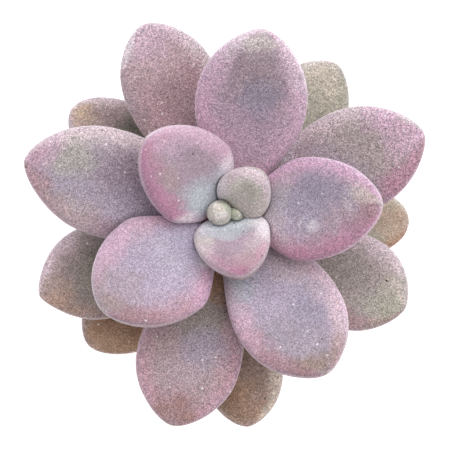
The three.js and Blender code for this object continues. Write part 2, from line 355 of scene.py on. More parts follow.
def makeLeafTree():
    form = plantForm
    tree, put = newTree("fleshyLeaf", leafValues(10))
    ball = addNode(tree, "GeometryNodeMeshUVSphere",
                   {"Segments": put["Around"], "Rings": put["Along"], "Radius": 1.0})
    place = addNode(tree, "ShaderNodeSeparateXYZ", {0: addNode(tree, "GeometryNodeInputPosition").outputs[0]})
    x, y, z = (Term(tree, socket) for socket in place.outputs)

    distance = (x * x + y * y) ** 0.5
    opening = (distance / 0.02).least(1.0)
    across = y / distance.most(1e-6) * opening
    up = x / distance.most(1e-6) * opening
    along = ((1.0 - z) * 0.5).most(0.0).least(1.0)

    toWidest = (along / put["Widest"]).least(1.0)
    pastWidest = ((along - put["Widest"]) / (1.0 - put["Widest"])).most(0.0)
    toThickest = (along / form["thickestAt"]).least(1.0)
    pastThickest = ((along - form["thickestAt"]) / (1 - form["thickestAt"])).most(0.0)
    closing = (along / form["baseRounding"]).least(1.0) ** 0.5
    rise = put["Base Width"] + (1.0 - put["Base Width"]) * (toWidest * (math.pi / 2)).sin() ** put["Waist"]
    toTip = (1.0 - along).most(1e-6)
    fall = (1.0 - pastWidest ** form["widthTipPower"]).most(0.0) ** (1.0 / put["Fullness"])
    fall = fall * ((toTip + form["tipRounding"]) / toTip) ** (1.0 / put["Fullness"] - 0.5)
    swell = form["baseThickness"] + (1 - form["baseThickness"]) * (toThickest * (math.pi / 2)).sin()
    thin = (1.0 - pastThickest ** form["thickTipPower"]).most(0.0) ** 0.5
    half = put["Width"] * 0.5 * rise * fall * closing
    thick = put["Thickness"] * swell * thin * closing

    hollow = put["Dish"] * (1.0 - across * across) ** 2.0
    top = (1.0 - across.size() ** put["Squareness"]).most(0.0) ** (1.0 / put["Squareness"]) - hollow
    onTop = up.above(0.0)
    lift = thick * (put["Upper Share"] * top * onTop + (1.0 - put["Upper Share"]) * up.least(0.0))
    lift = lift + put["Cup"] * half * across * across
    side = half * across
    sideways = side * put["Roll"].cos() - lift * put["Roll"].sin()
    outwards = side * put["Roll"].sin() + lift * put["Roll"].cos()

    # the midrib: one arc for the foot, one for the blade
    foot, blade, tip, part = put["Foot Slope"], put["Blade Slope"], put["Tip Slope"], put["Foot Part"]
    footSlope = foot + (blade - foot) * (along / part).least(1.0)
    bladeSlope = blade + (tip - blade) * ((along - part) / (1.0 - part)).most(0.0)
    footBend = (blade - foot) / (part * put["Length"])
    bladeBend = (tip - blade) / ((1.0 - part) * put["Length"])
    slope = footSlope + bladeSlope - blade
    point = (1.0 - (1.0 - along) / 0.004).most(0.0) ** 2.0 * put["Point"]
    run = (put["Base Radius"] + (footSlope.sin() - foot.sin()) / footBend
           + (bladeSlope.sin() - blade.sin()) / bladeBend + point * slope.cos())
    climb = (put["Base Height"] - (footSlope.cos() - foot.cos()) / footBend
             - (bladeSlope.cos() - blade.cos()) / bladeBend + point * slope.sin())
    radial = run - outwards * slope.sin()
    height = climb + outwards * slope.cos()
    lateral = put["Bend"] * along * along + sideways
    worldX = put["Axis X"] + radial * put["Heading"].cos() - lateral * put["Heading"].sin()
    worldY = put["Axis Y"] + radial * put["Heading"].sin() + lateral * put["Heading"].cos()
    spot = addNode(tree, "ShaderNodeCombineXYZ", {"X": worldX, "Y": worldY, "Z": height})

    geometry = ball.outputs["Mesh"]
    for label, value in (("along", along), ("across", across), ("up", up)):
        kept = addNode(tree, "GeometryNodeStoreNamedAttribute",
                       {"Geometry": geometry, "Name": label, "Value": value})
        geometry = kept.outputs[0]
    shaped = addNode(tree, "GeometryNodeSetPosition", {"Geometry": geometry, "Position": spot.outputs[0]})

    # soft unevenness of the skin
    broad = addNode(tree, "ShaderNodeTexNoise", {"Scale": form["rippleScale"], "Detail": 1.0})
    fine = addNode(tree, "ShaderNodeTexNoise", {"Scale": form["fineRippleScale"], "Detail": 1.0})
    share = form["fineRippleShare"]
    wave = Term(tree, broad.outputs[0]) + share * Term(tree, fine.outputs[0]) - (1 + share) / 2
    normal = addNode(tree, "GeometryNodeInputNormal")
    push = addNode(tree, "ShaderNodeVectorMath", {0: normal.outputs[0], "Scale": wave * 2.0 * put["Ripple"]},
                   operation="SCALE")
    rippled = addNode(tree, "GeometryNodeSetPosition",
                      {"Geometry": shaped.outputs[0], "Offset": push.outputs[0]})
    closeTree(tree, rippled.outputs[0], put["Material"])
    return tree


# Leaf skin: base, body, tip and margins, then soft blots and small marks under a grain of farina

palette = {name: srgb(code) for name, code in dict(
    snow="#f5eff4", frost="#e4e8f0", mist="#c0cad2", bone="#dcd4c9", chalk="#c9c0bb", cream="#c8bfb1",
    lichen="#c0bfb2", sprout="#bac0ac", moss="#8e8f7e", sage="#afac9f", slate="#9992a7", dusk="#a99caa",
    heather="#b1a2b6", lilac="#c0b2c8", mauve="#b29daa", plum="#9a8691", orchid="#cea8c1", blush="#d5b3c6",
    pink="#c691a9", berry="#b5859e", petal="#c1a7ad", shell="#cfbec3", rose="#b8939e", brick="#a07e84",
    ash="#b1a3a3", taupe="#a39092", fawn="#b49e98", sand="#c5ad9a", honey="#b6937b", amber="#c0a088",
    olive="#95806f", umber="#8d6e59", fern="#6f7261", ink="#2c2024",
).items()}

skinForm = dict(
    roughness=0.7, sheen=0.25, sheenRoughness=0.4,
    flesh=0.12, fleshDepth=1.5,                 # subsurface share and its depth in mm
    wander=0.25, wanderScale=210,               # how far the colours stray along the leaf
    sway=0.5, swayScale=340,                    # and across it
    # the rim shares set the strength of the painted rim highlight, weaker on the old leaves
    edge=0.2, rim=0.22, oldRimHighlight=0.08, under=0.45,
    bloom=0.12, bloomScale=90,
    grain=0.95, grainScale=4200,                # contrast of the farina's grain, cells per metre
    softness=0.1, softScale=1600,
    relief=0.25, reliefDepth=0.03,              # mm
    speckScale=1000, speckShare=0.022, speck=0.75, darkSpeck=0.8,
    creaseShade=0.55, creaseShadeReach=0.7,               # painted shade round a contact, its reach in mm
    touchReach=2.6,                             # and the reach of the wider painted shade on old leaves
)

# The margins are left and right of a leaf seen with its tip up. A blot is its place along (0 base, 1 tip)
# and across (1 left, -1 right), its half sizes, colour and strength. A mark is x, y, half length and half
# width in mm, turn in degrees, colour and strength. Places and paints were given after comparing leaf by
# leaf, patch by patch, what colour the photo needs under this light.
# Part of these paints is painted light and shade: the snow, frost and mist patches near leaf bases and along
# margins are partly pale farina and partly painted light and highlight, and the dark fern, umber, plum, moss
# and taupe bases and blots of the older leaves are partly their own browner colour and partly painted shade
# under the leaves that lie over them.
leafLooks = [
    dict(body="sprout", base="sprout", tip="lichen", left="bone", right="sprout", grain=1, edge=0,
         creaseShade=0.4),
    dict(body="lichen", base="sage", tip="bone", left="bone", right="bone", grain=1, edge=0, creaseShade=0.4,
         blots=[
        (0.64, -0.8, 0.14, 0.4, "moss", 1), (0.9, 0.5, 0.12, 0.5, "snow", 0.5),
        (0.25, -0.7, 0.12, 0.4, "moss", 0.8), (0.76, -0.35, 0.12, 0.4, "sprout", 0.8),
        (0.78, 0.95, 0.12, 0.3, "lichen", 0.6)]),
    dict(body="chalk", base="sage", tip="shell", left="shell", right="shell", grain=1.1, edge=0,
         blots=[
        (0.76, -0.4, 0.16, 0.4, "sage", 0.6), (0.25, -0.2, 0.12, 0.5, "sage", 0.6),
        (0.66, 0.5, 0.14, 0.3, "bone", 0.5), (0.76, 0.1, 0.1, 0.3, "moss", 0.4),
        (0.6, -0.8, 0.16, 0.4, "bone", 0.6), (0.36, 0.8, 0.2, 0.4, "snow", 0.5),
        (0.32, -0.9, 0.14, 0.3, "bone", 0.6)]),
    dict(body="mauve", base="frost", tip="pink", left="shell", right="shell", grain=0.85, edge=0,
         creaseShade=0.4, rim=0.36,
         blots=[
        (0.38, 0, 0.14, 0.8, "mist", 0.7), (0.25, 0, 0.1, 1.2, "frost", 0.6),
        (0.42, 0.9, 0.2, 0.3, "snow", 0.7), (0.8, -0.35, 0.14, 0.4, "plum", 0.5),
        (0.8, 0.35, 0.1, 0.5, "petal", 0.6), (0.86, 0.2, 0.12, 0.9, "rose", 0.45),
        (0.98, 0, 0.06, 1.4, "berry", 0.5), (0.86, -0.75, 0.14, 0.35, "berry", 0.6),
        (0.64, 0.55, 0.1, 0.3, "shell", 0.5), (0.52, -0.75, 0.1, 0.3, "chalk", 0.7),
        (0.8, 0.9, 0.14, 0.3, "pink", 0.5)], marks=[
        (3.2, -12.6, 1.6, 0.35, 60, "bone", 0.5)]),
    dict(body="mauve", base="mist", tip="pink", left="berry", right="blush", grain=0.95,
         blots=[
        (0.36, 0.25, 0.14, 0.5, "mist", 0.5), (0.28, 0.3, 0.12, 0.5, "frost", 0.2),
        (0.74, 0.4, 0.2, 0.25, "fawn", 0.45), (0.86, 0.6, 0.16, 0.4, "berry", 0.6),
        (0.88, -0.5, 0.14, 0.5, "blush", 0.6), (0.5, 0.85, 0.18, 0.3, "pink", 0.7),
        (0.6, -0.9, 0.24, 0.25, "blush", 0.9), (0.27, 0.95, 0.12, 0.3, "snow", 0.6),
        (0.27, -0.8, 0.12, 0.4, "snow", 0.6)]),
    dict(body="mauve", base="shell", tip="rose", left="orchid", right="pink", grain=1.3,
         blots=[
        (0.93, 0.35, 0.1, 0.35, "bone", 0.5), (0.84, -0.6, 0.1, 0.3, "berry", 0.6),
        (0.68, 0.35, 0.18, 0.4, "slate", 0.6), (0.92, -0.35, 0.13, 0.45, "brick", 0.65),
        (0.46, -0.1, 0.16, 0.5, "lilac", 0.6), (0.54, 0.15, 0.14, 0.5, "slate", 0.5),
        (0.32, 0.2, 0.12, 0.5, "mist", 0.2), (0.28, -0.6, 0.14, 0.6, "shell", 0.4)], marks=[
        (26, 4.6, 1.9, 0.9, -60, "shell", 0.6), (18.9, -0.3, 1.6, 1.6, 0, "snow", 0.4),
        (16.5, 0.8, 1.5, 0.5, 60, "snow", 0.3)]),
    dict(body="heather", base="lilac", tip="taupe", left="rose", right="mauve", grain=1.2,
         blots=[
        (0.94, 0.85, 0.14, 0.45, "brick", 0.9), (0.44, 0, 0.15, 0.4, "mist", 0.2),
        (0.36, 0, 0.1, 0.4, "slate", 0.5), (0.44, 0.9, 0.16, 0.3, "orchid", 0.8),
        (0.42, -0.9, 0.18, 0.3, "blush", 0.8), (0.6, 0.45, 0.14, 0.35, "lilac", 0.35),
        (0.8, 0, 0.1, 0.5, "taupe", 0.4), (0.26, 0.7, 0.1, 0.5, "snow", 0.8),
        (0.76, 0.75, 0.14, 0.35, "rose", 0.2), (0.9, -0.85, 0.12, 0.3, "taupe", 0.5),
        (0.72, -0.88, 0.18, 0.3, "orchid", 0.6)]),
    dict(body="mauve", base="blush", tip="shell", left="blush", right="blush", grain=1.5,
         blots=[
        (0.78, 0, 0.14, 0.5, "taupe", 0.45), (0.64, -0.15, 0.14, 0.35, "slate", 0.6),
        (0.45, 0, 0.16, 0.7, "orchid", 0.3), (0.9, 0.9, 0.14, 0.35, "snow", 0.45),
        (0.96, 0, 0.06, 0.8, "bone", 0.4), (0.6, 0.95, 0.3, 0.25, "orchid", 0.5),
        (0.85, -0.9, 0.16, 0.25, "snow", 0.25), (0.4, -0.9, 0.16, 0.3, "blush", 0.6)]),
    dict(body="dusk", base="shell", tip="taupe", left="blush", right="rose", grain=1.3,
         blots=[
        (0.94, 0.85, 0.12, 0.35, "olive", 0.6), (0.97, -0.2, 0.08, 0.6, "olive", 0.5),
        (0.92, -0.8, 0.16, 0.4, "brick", 0.6), (0.48, 0, 0.16, 0.9, "lilac", 0.7),
        (0.54, 0.85, 0.16, 0.35, "shell", 0.5), (0.56, -0.88, 0.16, 0.3, "blush", 0.6),
        (0.36, -0.6, 0.12, 0.4, "mist", 0.6), (0.66, 0.4, 0.12, 0.4, "slate", 0.5),
        (0.78, 0.8, 0.12, 0.2, "shell", 0.6), (0.4, 0.5, 0.12, 0.4, "shell", 0.6)]),
    dict(body="dusk", base="dusk", tip="mauve", left="petal", right="shell", grain=1.5, touch=0.5,
         blots=[
        (0.8, -0.35, 0.14, 0.45, "sage", 0.6), (0.54, -0.2, 0.14, 0.5, "plum", 0.5),
        (0.44, 0.4, 0.16, 0.5, "lilac", 0.5), (0.94, 0.6, 0.12, 0.4, "brick", 0.5),
        (0.54, 0.9, 0.12, 0.3, "plum", 0.7), (0.85, 0.9, 0.14, 0.25, "rose", 0.6),
        (0.74, 0.8, 0.14, 0.35, "ash", 0.5), (0.94, -0.4, 0.12, 0.6, "orchid", 0.5),
        (0.98, 0, 0.06, 0.9, "rose", 0.5)]),
    dict(body="ash", base="orchid", tip="blush", left="shell", right="rose", grain=1.7, touch=0.3,
         blots=[
        (0.9, 0.2, 0.12, 0.7, "blush", 0.45), (0.62, -0.6, 0.14, 0.5, "dusk", 0.6),
        (0.72, 0.3, 0.1, 0.4, "ash", 0.6), (0.8, -0.8, 0.12, 0.35, "pink", 0.5),
        (0.85, 0.8, 0.1, 0.4, "orchid", 0.5), (0.3, 0.9, 0.12, 0.3, "snow", 0.6),
        (0.48, 0, 0.14, 0.6, "heather", 0.5)]),
    dict(body="taupe", base="umber", tip="brick", left="rose", right="rose", grain=1.5, touch=0.3,
         blots=[
        (0.74, -0.1, 0.12, 0.6, "mauve", 0.4), (0.62, 0.2, 0.1, 0.5, "slate", 0.5),
        (0.62, -0.6, 0.14, 0.4, "taupe", 0.6), (0.46, 0, 0.12, 0.6, "moss", 0.4),
        (0.42, 0.9, 0.16, 0.3, "shell", 0.5), (0.25, 0, 0.14, 1.2, "honey", 1),
        (0.98, 0, 0.08, 1, "umber", 0.7), (0.9, 0, 0.1, 0.8, "brick", 0.5)]),
    dict(body="petal", base="fern", tip="shell", left="petal", right="shell", grain=1.6, touch=0.8,
         blots=[
        (0.56, 0, 0.18, 0.9, "rose", 0.7), (0.6, 0, 0.14, 0.5, "taupe", 0.4),
        (0.94, 0, 0.12, 1, "blush", 0.6), (0.58, 0.9, 0.16, 0.3, "taupe", 0.6),
        (0.95, 0.95, 0.1, 0.3, "snow", 0.6)]),
    dict(body="ash", base="taupe", tip="cream", left="shell", right="fawn", grain=1.5, touch=0.7,
         blots=[
        (0.98, -0.35, 0.08, 0.5, "olive", 0.6), (0.9, -0.2, 0.12, 0.5, "sage", 0.8),
        (0.96, 0.9, 0.06, 0.3, "sage", 0.6), (0.62, 0, 0.14, 0.7, "moss", 0.3),
        (0.76, -0.9, 0.12, 0.3, "rose", 0.5)], marks=[
        (36, -12.4, 0.5, 0.3, -30, "ink", 0.95)]),
    dict(body="taupe", base="plum", tip="fawn", left="fawn", right="shell", grain=1.4, touch=0.95,
         blots=[
        (0.6, 0, 0.12, 1.2, "fern", 0.45), (0.95, 0.6, 0.12, 0.6, "honey", 0.5),
        (0.7, 0.1, 0.18, 0.6, "moss", 0.5), (0.85, -0.9, 0.16, 0.25, "orchid", 0.15)], marks=[
        # the ink mark is a painted shadow where the edge of leaf07 lies over this leaf
        (-29.8, -13, 0.4, 0.7, 10, "ink", 0.9)]),
    dict(body="cream", base="moss", tip="cream", left="chalk", right="sage", grain=1.4, touch=0.9,
         blots=[
        (0.92, 0.4, 0.1, 0.4, "bone", 0.3), (0.68, 0, 0.16, 1, "sage", 0.7)]),
    dict(body="olive", base="taupe", tip="honey", left="sand", right="olive", grain=1.5, touch=0.3,
         blots=[
        (0.98, 0, 0.07, 0.5, "olive", 0.5), (0.88, -0.5, 0.1, 0.35, "umber", 0.6),
        (0.97, -0.9, 0.06, 0.3, "sand", 0.6), (0.74, 0.4, 0.14, 0.6, "fawn", 0.5),
        (0.86, 0.1, 0.08, 0.4, "honey", 0.5), (0.85, 0.9, 0.2, 0.25, "bone", 0.5)]),
    dict(body="taupe", base="fern", tip="sand", left="taupe", right="shell", grain=1.4, touch=0.9,
         blots=[
        (0.6, 0, 0.16, 1.2, "fern", 0.7), (0.9, 0.4, 0.1, 0.4, "fawn", 0.6),
        (0.98, 0.9, 0.05, 0.4, "shell", 0.7)]),
    dict(body="cream", base="taupe", tip="sand", left="cream", right="honey", grain=1.2, touch=0.9,
         blots=[
        (0.92, 0.2, 0.12, 0.6, "sand", 0.6), (0.72, -0.4, 0.14, 0.7, "sage", 0.8)]),
    dict(body="honey", base="umber", tip="amber", left="amber", right="fawn", grain=1.3, touch=0.6,
         blots=[
        (0.78, 0, 0.1, 0.6, "umber", 0.5), (0.9, 0.4, 0.1, 0.6, "amber", 0.8)]),
]


def leafSkin(name, look):
    form = skinForm
    material, tree, shader = newMaterial(name, form["roughness"])
    place = addNode(tree, "ShaderNodeTexCoord").outputs["Object"]
    along, across, up = (Term(tree, addNode(tree, "ShaderNodeAttribute", attribute_name=label).outputs["Fac"])
                         for label in ("along", "across", "up"))
    wander = Term(tree, noiseAt(tree, place, form["wanderScale"], 3).outputs[0]) - 0.5
    sway = Term(tree, noiseAt(tree, place, form["swayScale"], 3).outputs[0]) - 0.5
    length = along + form["wander"] * wander
    width = across + form["sway"] * sway

    colour = mixColour(tree, palette[look["base"]], palette[look["body"]], length.ramp(0.15, 0.5))
    colour = mixColour(tree, colour, palette[look["tip"]], length.ramp(0.8, 0.98))
    colour = mixColour(tree, colour, palette[look["left"]], width.ramp(0.4, 0.9))
    colour = mixColour(tree, colour, palette[look["right"]], width.ramp(-0.4, -0.9))
    for middle, side, long, wide, dye, strength in look.get("blots", []):
        far = ((length - middle) / long) ** 2.0 + ((width - side) / wide) ** 2.0
        colour = mixColour(tree, colour, palette[dye], far.ramp(1.8, 0.0) * strength)
    for x, y, long, wide, turn, dye, strength in look.get("marks", []):
        links = {"Vector": place, "Location": (x * mm, y * mm, 0), "Rotation": (0, 0, math.radians(turn)),
                 "Scale": (long * mm, wide * mm, 1000)}
        local = addNode(tree, "ShaderNodeMapping", links, vector_type="TEXTURE").outputs[0]
        far = lengthOf(tree, local)
        colour = mixColour(tree, colour, palette[dye], (far + wander).ramp(1.2, 0.5) * strength)

    # the rounded edge, a painted rim highlight of pale snow along margin and tip, and the underside
    edge = across.size().ramp(0.84, 0.97).most(along.ramp(0.955, 0.99))
    colour = mixColour(tree, colour, palette["heather"], edge * look.get("edge", form["edge"]))
    # painted highlight: the margins and the tip are lightened towards snow
    rim = across.size().ramp(0.965, 1.0).most(along.ramp(0.985, 0.999))
    rimHighlightShare = look.get("rim", form["oldRimHighlight"] if "touch" in look else form["rim"])
    colour = mixColour(tree, colour, palette["snow"], rim * rimHighlightShare)
    colour = mixColour(tree, colour, palette["sage"], up.ramp(0.0, -0.5) * form["under"])

    # farina: broad bloom, grain, bright and dark specks
    bloom = Term(tree, noiseAt(tree, place, form["bloomScale"], 4).outputs[0]).ramp(0.45, 0.75)
    colour = mixColour(tree, colour, palette["lilac"], bloom * form["bloom"])
    powder, lot = cellsAt(tree, place, form["grainScale"])
    soft = Term(tree, noiseAt(tree, place, form["softScale"], 3, 0.7).outputs[0]) - 0.5
    grain = ((0.5 - powder) * 0.7 + (lot * lot - 0.33) * 0.5) * (form["grain"] * look["grain"])
    colour = shade(tree, colour, grain + soft * form["softness"] + 1.0)
    far, lot = cellsAt(tree, place, form["speckScale"])
    bright = lot.above(1 - form["speckShare"])
    dark = 1.0 - lot.above(form["speckShare"] * 0.6)
    colour = mixColour(tree, colour, palette["snow"], far.ramp(0.36, 0.14) * bright * form["speck"])
    colour = mixColour(tree, colour, palette["ink"], far.ramp(0.3, 0.1) * dark * form["darkSpeck"])

    # painted shade: darker where the ambient occlusion node finds surfaces close by, in creases and where
    # leaves touch or lie over each other
    paintedShades = ((form["creaseShadeReach"], look.get("creaseShade", form["creaseShade"])),
                (form["touchReach"], look.get("touch", 0)))
    for reach, strength in paintedShades:
        if strength:
            near = addNode(tree, "ShaderNodeAmbientOcclusion", {"Distance": reach * mm}, samples=6)
            colour = shade(tree, colour, 1.0 - Term(tree, near.outputs["AO"]).ramp(0.9, 0.35) * strength)

    tree.links.new(colour, shader.inputs["Base Color"])
    addBump(tree, shader, form["relief"], form["reliefDepth"], powder)
    shader.inputs["Specular IOR Level"].default_value = 0.3
    shader.inputs["Sheen Weight"].default_value = form["sheen"]
    shader.inputs["Sheen Roughness"].default_value = form["sheenRoughness"]
    shader.inputs["Sheen Tint"].default_value = palette["snow"]
    shader.inputs["Subsurface Weight"].default_value = form["flesh"]
    shader.inputs["Subsurface Radius"].default_value = (1, 0.5, 0.4)
    shader.inputs["Subsurface Scale"].default_value = form["fleshDepth"] * mm
    return material


leafSlots = ["bud_leaf"] * 2 + ["young_leaf"] * 3 + ["leaf"] * 8 + ["old_leaf"] * 7
leafTree = makeLeafTree()
for index in range(len(leafShapes)):
    name = f"leaf{index + 1:02d}"
    leaf = runTree(name, leafTree, leafValues(index), leafSkin(name + "Skin", leafLooks[index]))
    settle(leaf, f"leaf_{index + 1:02d}", slot=leafSlots[index])
print("leaves made")


# Turned pieces: a section of (radius, height, rounding) in mm, spun round the plumb line

def roundedSection(corners, steps=6, longest=2.5):  # a closed section with soft corners and short edges
    points = []
    for i, (radius, height, rounding) in enumerate(corners):
        corner = Vector((radius, height))
        before = Vector(corners[i - 1][:2]) - corner
        after = Vector(corners[(i + 1) % len(corners)][:2]) - corner
        start = corner + before.normalized() * min(rounding, before.length * 0.45)
        end = corner + after.normalized() * min(rounding, after.length * 0.45)
        for j in range(steps + 1):
            t = j / steps
            points.append((1 - t) ** 2 * start + 2 * t * (1 - t) * corner + t ** 2 * end)
    fine = []
    for i, point in enumerate(points):
        step = points[(i + 1) % len(points)] - point
        parts = max(1, math.ceil(step.length / longest))
        fine += [point + step * (j / parts) for j in range(parts)]
    return fine


def spin(name, section, sides, waver, closed=True):  # waver moves a point: (x, y, z) in mm to a new one
    vertices = []
    for radius, height in section:
        for j in range(sides):
            turn = 2 * math.pi * j / sides
            point = waver(Vector((radius * math.cos(turn), radius * math.sin(turn), height)))
            vertices.append(point * mm)
    faces = []
    for i in range(len(section) if closed else len(section) - 1):
        near, far = i * sides, (i + 1) % len(section) * sides
        for j in range(sides):
            k = (j + 1) % sides
            faces.append((near + j, near + k, far + k, far + j))
    if not closed:
        faces.append(tuple(range(sides))[::-1])
        faces.append(tuple((len(section) - 1) * sides + j for j in range(sides)))
    mesh = bpy.data.meshes.new(name)
    mesh.from_pydata(vertices, [], faces)
    smoothAll(mesh)
    return linkObject(name, mesh)


def facesOut(piece):  # all the faces turned outwards
    shape = bmesh.new()
    shape.from_mesh(piece.data)
    bmesh.ops.recalc_face_normals(shape, faces=shape.faces)
    shape.to_mesh(piece.data)
    shape.free()


# Clay pot

pot = dict(
    height=57, rim=32, bandHeight=14, bandTaper=1.4, bandStep=1.8, foot=21.5, wall=3.6, floor=4.5, drain=5,
    sides=180,
    waver=0.1, turningWaver=0.04,
    clay="#a8644a", paleClay="#b97f65", darkClay="#8a4e38", lime="#dccfc2", soot="#5f3d2d",
    patchScale=55, limeScale=130, grainScale=2400, lineScale=900, pitScale=520,
    limeShare=0.75, pitShare=0.55,
    relief=0.5, reliefDepth=0.12,   # mm
)


def potHollow(height):
    low, high = pot["foot"] - pot["wall"], pot["rim"] - pot["wall"]
    return low + (high - low) * (height - pot["floor"]) / (pot["height"] - pot["floor"])


def clayMaterial():
    material, tree, shader = newMaterial("agedClay", 0.88)
    place = addNode(tree, "ShaderNodeTexCoord").outputs["Object"]
    height = Term(tree, addNode(tree, "ShaderNodeSeparateXYZ", {0: place}).outputs["Z"])
    broad = Term(tree, noiseAt(tree, place, pot["patchScale"], 4).outputs[0])
    patchy = Term(tree, noiseAt(tree, place, pot["limeScale"], 6, 0.65).outputs[0])
    grain = Term(tree, noiseAt(tree, place, pot["grainScale"], 2, 0.7).outputs[0])
    colour = mixColour(tree, srgb(pot["darkClay"]), srgb(pot["clay"]), broad.ramp(0.3, 0.52))
    colour = mixColour(tree, colour, srgb(pot["paleClay"]), broad.ramp(0.5, 0.72))

    # lines left by turning, lime near the rim and the foot, pits
    flat = addNode(tree, "ShaderNodeMapping", {"Vector": place, "Scale": (0.03, 0.03, 1)})
    lines = Term(tree, noiseAt(tree, flat.outputs[0], pot["lineScale"], 3).outputs[0])
    colour = shade(tree, colour, (lines - 0.5) * 0.25 + (grain - 0.5) * 0.35 + 1.0)
    level = height / (pot["height"] * mm)
    band = level.ramp(0.62, 1.0) * 0.6 + level.ramp(0.22, 0.0) * 0.7
    lime = (patchy + 0.22 * band).ramp(0.56, 0.8)
    colour = mixColour(tree, colour, srgb(pot["lime"]), lime * (band + 0.12) * pot["limeShare"])
    far, lot = cellsAt(tree, place, pot["pitScale"])
    pits = far.ramp(0.24, 0.12) * lot.above(0.86)
    colour = mixColour(tree, colour, srgb(pot["soot"]), pits * pot["pitShare"])
    tree.links.new(colour, shader.inputs["Base Color"])
    relief = grain * 0.5 + lines * 1.3 - pits + lime * 0.3
    addBump(tree, shader, pot["relief"], pot["reliefDepth"], relief)
    shader.inputs["Specular IOR Level"].default_value = 0.25
    return material


def makePot():
    bandBottom = pot["height"] - pot["bandHeight"]
    lip = pot["rim"] - pot["bandTaper"]
    section = roundedSection([
        (pot["drain"], 0, 0.5),
        (pot["foot"], 0, 1.3),
        (lip - pot["bandStep"], bandBottom, 0.8),
        (lip, bandBottom + 0.3, 0.7),
        (pot["rim"], pot["height"], 1.5),
        (potHollow(pot["height"]), pot["height"], 1.5),
        (potHollow(pot["floor"]), pot["floor"], 2),
        (pot["drain"], pot["floor"], 0.8),
    ])

    def waver(point):
        push = pot["waver"] * noise.noise(point * 0.06)
        push += pot["turningWaver"] * noise.noise(Vector((0, 0, point.z * 0.8)))
        outwards = Vector((point.x, point.y, 0)).normalized()
        return point + outwards * push

    piece = spin("clayPot", section, pot["sides"], waver)
    facesOut(piece)
    piece.data.materials.append(clayMaterial())
    settle(piece, "pot", slot="clay")


# Soil, and stones on it: both stand for the frame's soil

soil = dict(
    top=49.5, crown=0.8, gap=0.3,
    sides=180, rings=60,
    edgeDrop=0.5, edgeRounding=1.5,
    lump=0.7,
    peat="#3d2e22", dryPeat="#6a5340", wetPeat="#241a13", fibre="#8d7658",
    patchScale=160, grainScale=1500, fibreScale=900, fibreShare=0.7,
    relief=0.8, reliefDepth=0.25,   # mm
    wallClearance=2,
    stoneGrainScale=2600, stoneRelief=0.6, stoneReliefDepth=0.08,
    stones=dict(count=420, seed=3, smallest=0.45, largest=1.5, colours=("#8f7d69", "#b3a28c", "#6b5f55")),
    perlite=dict(count=46, seed=8, smallest=0.6, largest=1.35, colours=("#e4dfd6", "#f1eee8", "#cfc8bb")),
)


def soilMaterial():
    material, tree, shader = newMaterial("pottingMix", 0.95)
    place = addNode(tree, "ShaderNodeTexCoord").outputs["Object"]
    broad = Term(tree, noiseAt(tree, place, soil["patchScale"], 4, 0.6).outputs[0])
    grain = Term(tree, noiseAt(tree, place, soil["grainScale"], 4, 0.7).outputs[0])
    colour = mixColour(tree, srgb(soil["wetPeat"]), srgb(soil["peat"]), broad.ramp(0.32, 0.5))
    colour = mixColour(tree, colour, srgb(soil["dryPeat"]), (broad + 0.5 * grain).ramp(0.72, 0.95))
    far, lot = cellsAt(tree, place, soil["fibreScale"])
    fibre = far.ramp(0.4, 0.2) * lot.above(0.9)
    colour = mixColour(tree, colour, srgb(soil["fibre"]), fibre * soil["fibreShare"])
    tree.links.new(colour, shader.inputs["Base Color"])
    addBump(tree, shader, soil["relief"], soil["reliefDepth"], grain)
    shader.inputs["Specular IOR Level"].default_value = 0.2
    return material


def makeSoil():
    low = pot["floor"] + soil["gap"]
    high = soil["top"] - soil["edgeDrop"]
    edge = potHollow(high) - soil["gap"]
    pole = 0.05
    section = [Vector((pole, low))]
    for i in range(13):
        height = low + (high - low) * i / 12
        section.append(Vector((potHollow(height) - soil["gap"], height)))
    for i in range(1, soil["rings"] + 1):
        t = i / soil["rings"]
        height = high + soil["edgeDrop"] * min(1, t * 12) + soil["crown"] * t
        section.append(Vector((edge + (pole - edge) * t, height)))

    def waver(point):
        if point.z < high:
            return point
        lumps = sum(share * noise.noise(point * fine) for share, fine in ((0.7, 0.35), (0.45, 1.1), (0.2, 3)))
        fade = min(1, (edge - point.xy.length) / soil["edgeRounding"] + 0.3)
        return point + Vector((0, 0, soil["lump"] * lumps * fade))

    piece = spin("pottingSoil", section, soil["sides"], waver, closed=False)
    facesOut(piece)
    piece.data.materials.append(soilMaterial())
    settle(piece, "soil", slot="soil")


def stoneMaterial(name, colours):
    material, tree, shader = newMaterial(name, 0.9)
    place = addNode(tree, "ShaderNodeTexCoord").outputs["Object"]
    lot = Term(tree, addNode(tree, "ShaderNodeAttribute", attribute_name="lot").outputs["Fac"])
    grain = Term(tree, noiseAt(tree, place, soil["stoneGrainScale"], 3, 0.7).outputs[0])
    first, second, third = (srgb(code) for code in colours)
    colour = mixColour(tree, first, second, lot.ramp(0.2, 0.6))
    colour = mixColour(tree, colour, third, lot.ramp(0.7, 0.95))
    colour = shade(tree, colour, (grain - 0.5) * 0.7 + 1.0)
    tree.links.new(colour, shader.inputs["Base Color"])
    addBump(tree, shader, soil["stoneRelief"], soil["stoneReliefDepth"], grain)
    return material


